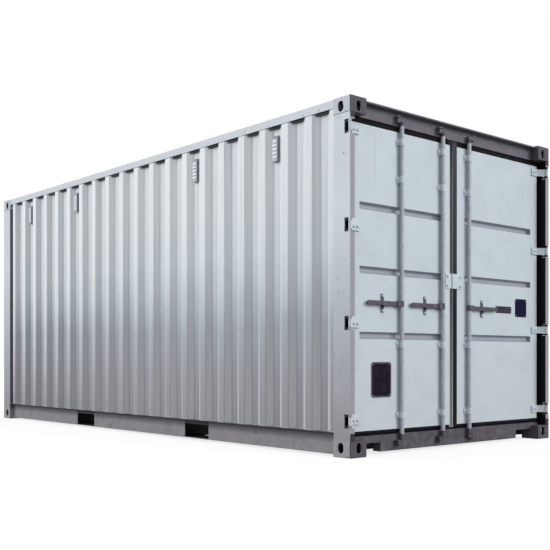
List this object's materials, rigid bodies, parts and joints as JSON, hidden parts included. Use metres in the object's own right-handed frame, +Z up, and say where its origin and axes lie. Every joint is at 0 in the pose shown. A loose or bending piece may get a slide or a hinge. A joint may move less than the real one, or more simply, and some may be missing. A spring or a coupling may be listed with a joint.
{
  "type": "shipping container",
  "caption": "Steel dry-cargo container with corrugated walls, corner castings, fork pockets and hinged end doors locked by turning bars with handles",
  "frame": {"origin": "middle of the base, on the plane that the bottom castings stand on", "axes": "+X along the length towards the doors, +Y across, towards the right door as seen from outside, +Z up"},
  "size_m": [6.058, 2.438, 2.591],
  "materials": {
    "body_paint": "semi-gloss pale grey paint, weathered",
    "frame_paint": "mid grey paint",
    "dark_paint": "dark grey paint on castings, header and sill",
    "lock_steel": "dull zinc-coated steel",
    "handle_paint": "dark weathered paint",
    "gasket_rubber": "matt black rubber",
    "floor_wood": "worn plywood"
  },
  "bodies": {
    "frame": {"front_posts": "body_paint", "rear_left_post": "body_paint", "rear_right_post": "body_paint", "top_side_rails": "body_paint", "left_side_wall": "body_paint", "right_side_wall": "body_paint", "front_wall": "body_paint", "front_top_rail": "body_paint", "roof_panel": "body_paint", "vents": "body_paint", "bottom_side_rails": "frame_paint", "bottom_rail_skirts": "frame_paint", "front_bottom_rail": "frame_paint", "cross_members": "frame_paint", "fork_pocket_tops": "frame_paint", "fork_pocket_sides": "frame_paint", "fork_pocket_straps": "frame_paint", "bottom_corner_castings": "dark_paint", "top_corner_castings": "dark_paint", "door_header": "dark_paint", "door_sill": "dark_paint", "sill_cutout_liners": "dark_paint", "cam_keepers": "lock_steel", "floor": "floor_wood"},
    "left_door": {"left_door_frame": "body_paint", "left_door_panel": "body_paint", "left_door_gasket": "gasket_rubber", "left_hinge_blades": "frame_paint", "left_bar_brackets": "lock_steel", "left_handle_rests": "handle_paint", "left_centre_plate": "body_paint"},
    "right_door": {"right_door_frame": "body_paint", "right_door_panel": "body_paint", "right_door_gasket": "gasket_rubber", "right_hinge_blades": "frame_paint", "right_bar_brackets": "lock_steel", "right_handle_rests": "handle_paint", "right_centre_plate": "body_paint"},
    "left_outer_bar": {"left_outer_bar": "lock_steel", "left_outer_cams": "lock_steel"},
    "left_inner_bar": {"left_inner_bar": "lock_steel", "left_inner_cams": "lock_steel"},
    "right_bar": {"right_bar": "lock_steel", "right_cams": "lock_steel"},
    "left_outer_handle": {"left_outer_handle": "handle_paint"},
    "left_inner_handle": {"left_inner_handle": "handle_paint"},
    "right_handle": {"right_handle": "handle_paint"}
  },
  "joints": [
    {"name": "left_door_hinge", "type": "hinge", "parent": "frame", "child": "left_door", "pos_m": [3.015, -1.205, 1.3], "axis": [0, 0, -1], "range_deg": [0, 270]},
    {"name": "right_door_hinge", "type": "hinge", "parent": "frame", "child": "right_door", "pos_m": [3.015, 1.205, 1.3], "axis": [0, 0, 1], "range_deg": [0, 270]},
    {"name": "left_outer_bar_turn", "type": "hinge", "parent": "left_door", "child": "left_outer_bar", "pos_m": [2.973, -0.628, 1.3], "axis": [0, 0, -1], "range_deg": [-110, 0]},
    {"name": "left_outer_handle_lift", "type": "hinge", "parent": "left_outer_bar", "child": "left_outer_handle", "pos_m": [2.973, -0.666, 1.125], "axis": [1, 0, 0], "range_deg": [-20, 0]},
    {"name": "left_inner_bar_turn", "type": "hinge", "parent": "left_door", "child": "left_inner_bar", "pos_m": [2.973, -0.155, 1.3], "axis": [0, 0, -1], "range_deg": [-110, 0]},
    {"name": "left_inner_handle_lift", "type": "hinge", "parent": "left_inner_bar", "child": "left_inner_handle", "pos_m": [2.973, -0.193, 1.125], "axis": [1, 0, 0], "range_deg": [-20, 0]},
    {"name": "right_bar_turn", "type": "hinge", "parent": "right_door", "child": "right_bar", "pos_m": [2.973, 0.1715, 1.3], "axis": [0, 0, 1], "range_deg": [-110, 0]},
    {"name": "right_handle_lift", "type": "hinge", "parent": "right_bar", "child": "right_handle", "pos_m": [2.973, 0.2095, 1.125], "axis": [-1, 0, 0], "range_deg": [-20, 0]}
  ]
}
